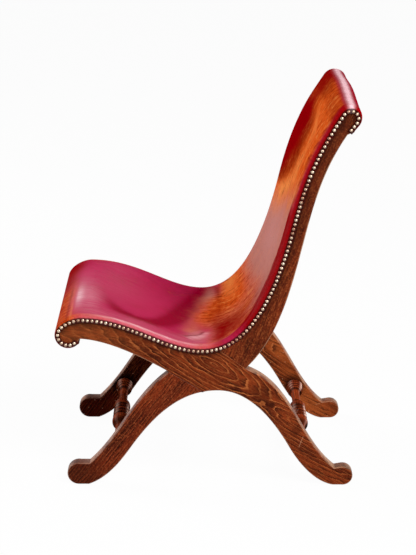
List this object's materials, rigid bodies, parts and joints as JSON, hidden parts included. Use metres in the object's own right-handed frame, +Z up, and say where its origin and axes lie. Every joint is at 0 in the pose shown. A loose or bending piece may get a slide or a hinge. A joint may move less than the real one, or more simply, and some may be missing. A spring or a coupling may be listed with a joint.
{
  "type": "slipper chair",
  "caption": "Low slipper chair with crossed, scroll-footed wooden side frames, turned stretchers and a nailed leather sling seat running up into a tall curved back.",
  "frame": {"origin": "on the floor, under the middle of the chair's bounding box", "axes": "+Z up; the chair faces -Y, so +X is the sitter's left"},
  "size_m": [0.4514, 0.6469, 0.8549],
  "materials": {
    "stained_oak": "stained and waxed oak, satin",
    "oak_peg": "bare oak dowel",
    "crimson_leather": "polished crimson hide with worn orange patches",
    "antique_brass": "antique brass, domed heads",
    "jute_webbing": "woven jute webbing",
    "hessian": "plain-weave hessian",
    "curled_hair": "curled hair stuffing",
    "black_linen": "black lining cloth"
  },
  "bodies": {
    "root": {"left_seat_rail_and_rear_leg": "stained_oak", "left_back_upright": "stained_oak", "left_front_leg": "stained_oak", "left_upright_dowel_1": "oak_peg", "left_upright_dowel_2": "oak_peg", "left_leg_dowel_1": "oak_peg", "left_leg_dowel_2": "oak_peg", "left_front_rail_dowel_1": "oak_peg", "left_front_rail_dowel_2": "oak_peg", "left_nail_row": "antique_brass", "right_seat_rail_and_rear_leg": "stained_oak", "right_back_upright": "stained_oak", "right_front_leg": "stained_oak", "right_upright_dowel_1": "oak_peg", "right_upright_dowel_2": "oak_peg", "right_leg_dowel_1": "oak_peg", "right_leg_dowel_2": "oak_peg", "right_front_rail_dowel_1": "oak_peg", "right_front_rail_dowel_2": "oak_peg", "right_nail_row": "antique_brass", "front_rail": "stained_oak", "crook_rail": "stained_oak", "crest_rail": "stained_oak", "front_stretcher": "stained_oak", "rear_stretcher": "stained_oak", "webbing_strap_01": "jute_webbing", "webbing_strap_02": "jute_webbing", "webbing_strap_03": "jute_webbing", "webbing_strap_04": "jute_webbing", "webbing_strap_05": "jute_webbing", "webbing_strap_06": "jute_webbing", "webbing_strap_07": "jute_webbing", "webbing_strap_08": "jute_webbing", "webbing_strap_09": "jute_webbing", "webbing_strap_10": "jute_webbing", "webbing_strap_11": "jute_webbing", "hessian_cloth": "hessian", "seat_stuffing": "curled_hair", "back_stuffing": "curled_hair", "leather_cover": "crimson_leather", "back_panel": "crimson_leather", "dust_cover": "black_linen", "front_nail_row": "antique_brass", "crest_nail_row": "antique_brass"}
  },
  "joints": []
}
